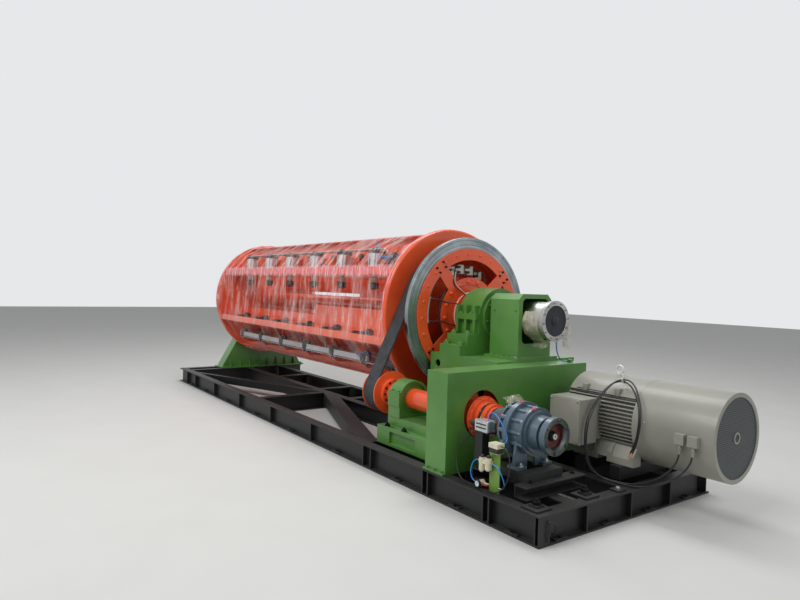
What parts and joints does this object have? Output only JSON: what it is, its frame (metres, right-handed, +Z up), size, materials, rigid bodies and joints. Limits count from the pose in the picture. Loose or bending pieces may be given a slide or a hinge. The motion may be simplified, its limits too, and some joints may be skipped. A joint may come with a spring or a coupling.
{
  "type": "rigid stranding machine section",
  "caption": "Rigid stranding machine: a long bobbin cage between end discs, turned by a flat belt from a drive shaft, with headstock, reducer and motor on a beam frame.",
  "frame": {"origin": "on the floor under the cage axis, half way along the rows of bobbin places", "axes": "+X along the cage axis to the drive end, -Y towards the operator's aisle, +Z up"},
  "size_m": [7.93, 2.148, 2.1999],
  "materials": {
    "black_base": "black enamel, worn grey on the edges",
    "green_paint": "semi-gloss green enamel",
    "orange_paint": "gloss orange-red enamel",
    "slip_ring_steel": "turned steel",
    "ring_steel": "turned steel with an oiled face",
    "belt_rubber": "matt flat belt",
    "reducer_grey": "blue-grey enamel on a casting",
    "cylinder_aluminium": "anodised tube with black ends",
    "cream_plastic": "moulded",
    "motor_grey": "warm light grey enamel",
    "grille_grey": "dark grey enamel",
    "grey_bar": "grey primer",
    "pintle_steel": "blackened steel with a bright collar",
    "module_plastic": "moulded",
    "cable_black": "smooth sheath",
    "hose_blue": "polyurethane tube"
  },
  "bodies": {
    "frame": {"base_side_beams": "black_base", "base_main_beams": "black_base", "base_cross_beams": "black_base", "base_diagonals": "black_base", "base_clamp_plates": "black_base", "tail_pedestal": "green_paint", "tail_bearing": "green_paint", "headstock_stand": "green_paint", "belt_guard_box": "green_paint", "main_bearing_housing": "green_paint", "slip_ring_box": "green_paint", "slip_ring": "slip_ring_steel", "drive_belt": "belt_rubber", "shaft_bearing": "green_paint", "shaft_slide": "green_paint", "reducer": "reducer_grey", "reducer_stand": "black_base", "clutch_bracket": "black_base", "clutch_cylinder": "cylinder_aluminium", "air_unit_post": "green_paint", "air_unit": "cream_plastic", "motor_frame": "motor_grey", "motor_cowl": "motor_grey", "motor_grille": "grille_grey", "motor_terminal_box": "motor_grey", "motor_sensor_boxes": "motor_grey", "motor_rails": "black_base", "motor_cable_1": "cable_black", "motor_cable_2": "cable_black", "clutch_cable": "cable_black", "slip_ring_hose": "hose_blue", "air_hose_1": "hose_blue", "air_hose_2": "hose_blue", "air_hose_3": "hose_blue"},
    "cage": {"cage_discs": "orange_paint", "cage_beams": "orange_paint", "belt_drum": "orange_paint", "brake_ring": "ring_steel", "end_plate": "orange_paint", "main_shaft": "orange_paint", "clamp_cylinders": "cylinder_aluminium", "cylinder_tie_bars": "grey_bar", "fixed_pintles": "pintle_steel", "guard_panels": "orange_paint", "control_modules": "module_plastic"},
    "drive_shaft": {"drive_shaft": "orange_paint", "drive_pulley": "orange_paint", "primary_pulley": "orange_paint", "clutch_hub": "orange_paint"},
    "reducer_output": {"reducer_coupling": "orange_paint"},
    "clamp_row_1": {"clamp_pintles_1": "pintle_steel"},
    "clamp_row_2": {"clamp_pintles_2": "pintle_steel"},
    "clamp_row_3": {"clamp_pintles_3": "pintle_steel"},
    "clamp_row_4": {"clamp_pintles_4": "pintle_steel"}
  },
  "joints": [
    {"name": "cage_spin", "type": "hinge", "parent": "frame", "child": "cage", "pos_m": [0, 0, 1.335], "axis": [1, 0, 0], "continuous": true},
    {"name": "shaft_spin", "type": "hinge", "parent": "frame", "child": "drive_shaft", "pos_m": [2.75, -0.891, 0.604], "axis": [1, 0, 0], "continuous": true},
    {"name": "output_spin", "type": "hinge", "parent": "frame", "child": "reducer_output", "pos_m": [3.95, -0.891, 0.604], "axis": [1, 0, 0], "continuous": true},
    {"name": "clamp_slide_1", "type": "slide", "parent": "cage", "child": "clamp_row_1", "axis": [0, -0.0872, -0.9962], "range_m": [0, 0.05]},
    {"name": "clamp_slide_2", "type": "slide", "parent": "cage", "child": "clamp_row_2", "axis": [0, -0.9962, 0.0872], "range_m": [0, 0.05]},
    {"name": "clamp_slide_3", "type": "slide", "parent": "cage", "child": "clamp_row_3", "axis": [0, 0.0872, 0.9962], "range_m": [0, 0.05]},
    {"name": "clamp_slide_4", "type": "slide", "parent": "cage", "child": "clamp_row_4", "axis": [0, 0.9962, -0.0872], "range_m": [0, 0.05]}
  ],
  "couplings": [
    {"joint": "shaft_spin", "follows": "cage_spin", "ratio": 3.75}
  ]
}
